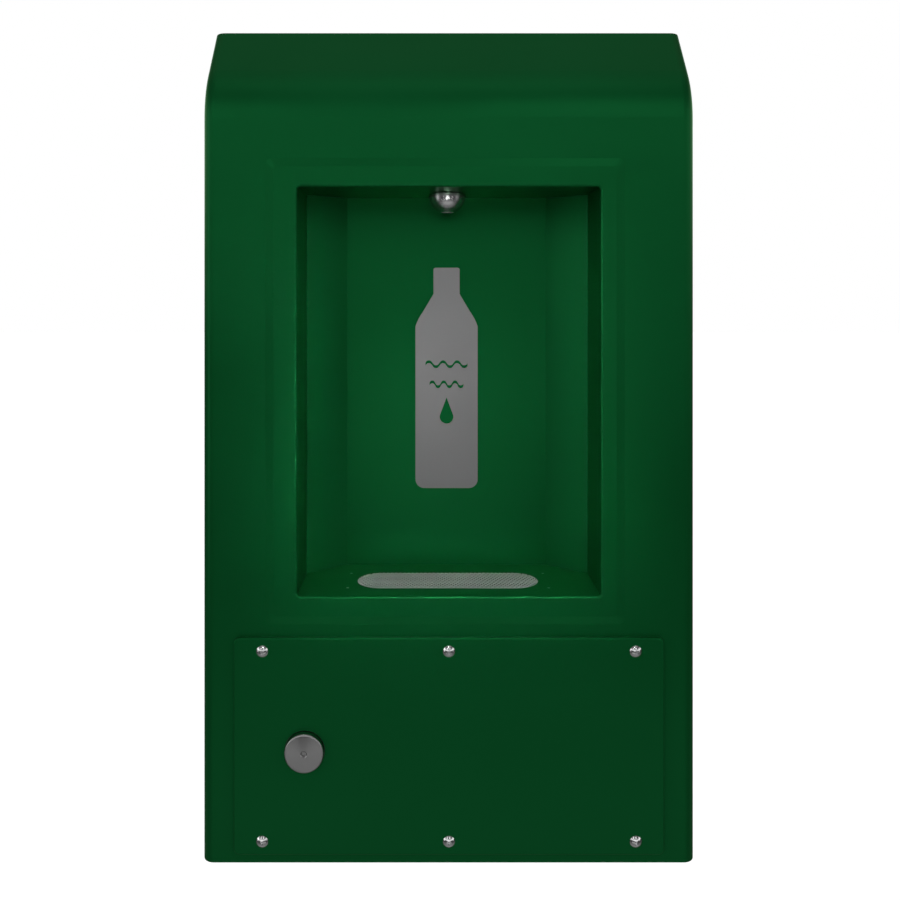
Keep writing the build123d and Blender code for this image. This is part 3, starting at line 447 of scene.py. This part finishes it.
# ---- Return spring: drawn steel wire wound round the stem, between the cap and the valve's neck.
SPRING_WIRE_R, SPRING_TURNS, PRESS = 0.0008, 6, 0.006
WIRE_SIDES, COIL_STEPS, WIRE_SHARP_EDGE = 12, 40, 50
spring_low, spring_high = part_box("return_spring")
spring_mid = (spring_low + spring_high) / 2
spring_length = spring_high.y - spring_low.y
bpy.ops.object.select_all(action="DESELECT")
bpy.ops.mesh.primitive_circle_add(
    vertices=WIRE_SIDES, radius=SPRING_WIRE_R,
    location=(spring_mid.x, spring_low.y + SPRING_WIRE_R, spring_mid.z))
spring = bpy.context.object
spring.name = "return_coil"
bpy.ops.object.mode_set(mode="EDIT")
bpy.ops.mesh.select_all(action="SELECT")
coil_r = (spring_high.x - spring_low.x) / 2 - SPRING_WIRE_R
bpy.ops.transform.translate(value=(coil_r, 0, 0))
bpy.ops.object.mode_set(mode="OBJECT")
winding = spring.modifiers.new("winding", "SCREW")
winding.axis = "Y"
winding.iterations = SPRING_TURNS
winding.screw_offset = (spring_length - 2 * SPRING_WIRE_R) / SPRING_TURNS
winding.steps = winding.render_steps = COIL_STEPS
bpy.ops.object.modifier_apply(modifier="winding")
bpy.ops.object.transform_apply(location=True, rotation=True, scale=True)
bpy.ops.object.mode_set(mode="EDIT")
bpy.ops.mesh.select_mode(type="EDGE")
bpy.ops.mesh.select_all(action="DESELECT")
# both cut ends of the wire are closed
bpy.ops.mesh.select_non_manifold()
bpy.ops.mesh.fill_holes(sides=0)
bpy.ops.mesh.select_all(action="SELECT")
bpy.ops.mesh.normals_make_consistent(inside=False)
bpy.ops.object.mode_set(mode="OBJECT")
bpy.ops.object.shade_smooth_by_angle(angle=radians(WIRE_SHARP_EDGE))
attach(spring, "cabinet")
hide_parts("return_spring")
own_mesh(spring)
spring_wire = satin_finish("spring_wire", dark=(0.34, 0.34, 0.35), light=(0.44, 0.44, 0.45),
                           rough=0.30, bump=0.08, grain_scale=900)
spring.data.materials.append(spring_wire)

# ---- Zinc-plated sheet and hardware: the plate that closes the back, the rail that the cabinet
# hangs from, the folded brackets inside it, and the screws, studs, nuts and clip that fix them.
zinc_plate = satin_finish("zinc_plate", dark=(0.50, 0.51, 0.52), light=(0.60, 0.61, 0.62),
                          rough=0.45, bump=0.1, grain_scale=300)
dress(zinc_plate, "back_plate", "hanging_rail", "valve_bracket", "filter_bracket", "cabinet_screws",
      "panel_nuts", "sign_studs", "sign_nuts", "tray_screws", "bracket_screws", "bracket_studs",
      "bracket_nuts", "handle_screw", "stem_clip")

# ---- Fittings of the water path: brass stems, nuts and valve turned and threaded from bar, left
# bare, and the angle valve's body, which is chromed.
raw_brass = satin_finish("raw_brass", dark=(0.55, 0.36, 0.13), light=(0.66, 0.46, 0.19),
                         rough=0.32, bump=0.08, grain_scale=700)
dress(raw_brass, "nozzle_stem", "nozzle_nut", "valve_body", "valve_lock_nut", "shutoff_stem",
      "waste_nut")
plated_brass = satin_finish("plated_brass", dark=(0.66, 0.67, 0.69), light=(0.74, 0.75, 0.77),
                            rough=0.14, bump=0.04, grain_scale=700)
dress(plated_brass, "angle_valve_body")

# ---- Plastics and rubber: moulded trap, filter, elbow and handle, extruded tubes and pipe, and the
# soft gaskets, seals and edgings that close the joints and line the holes in the sheet.
white_plastic = satin_finish("white_plastic", dark=(0.72, 0.72, 0.70), light=(0.80, 0.80, 0.78),
                             rough=0.42, bump=0.1, grain_scale=500, metallic=0.0)
dress(white_plastic, "nozzle_insert", "trap_body", "trap_cup", "trap_inlet_nut", "trap_outlet_nut",
      "waste_pipe", "filter_cartridge", "inlet_tube", "filtered_tube", "nozzle_tube")
grey_plastic = satin_finish("grey_plastic", dark=(0.10, 0.10, 0.11), light=(0.14, 0.14, 0.15),
                            rough=0.45, bump=0.1, grain_scale=500, metallic=0.0)
dress(grey_plastic, "filter_head", "nozzle_elbow", "button_guide")
blue_plastic = satin_finish("blue_plastic", dark=(0.02, 0.10, 0.38), light=(0.03, 0.13, 0.44),
                            rough=0.40, bump=0.1, grain_scale=500, metallic=0.0)
dress(blue_plastic, "shutoff_handle")
black_rubber = satin_finish("black_rubber", dark=(0.012, 0.012, 0.012),
                            light=(0.022, 0.022, 0.022), rough=0.65, bump=0.2, grain_scale=600,
                            metallic=0.0)
dress(black_rubber, "panel_gasket", "nozzle_seal", "tray_gasket", "waste_washer", "waste_edging",
      "inlet_edging", "cartridge_seal")
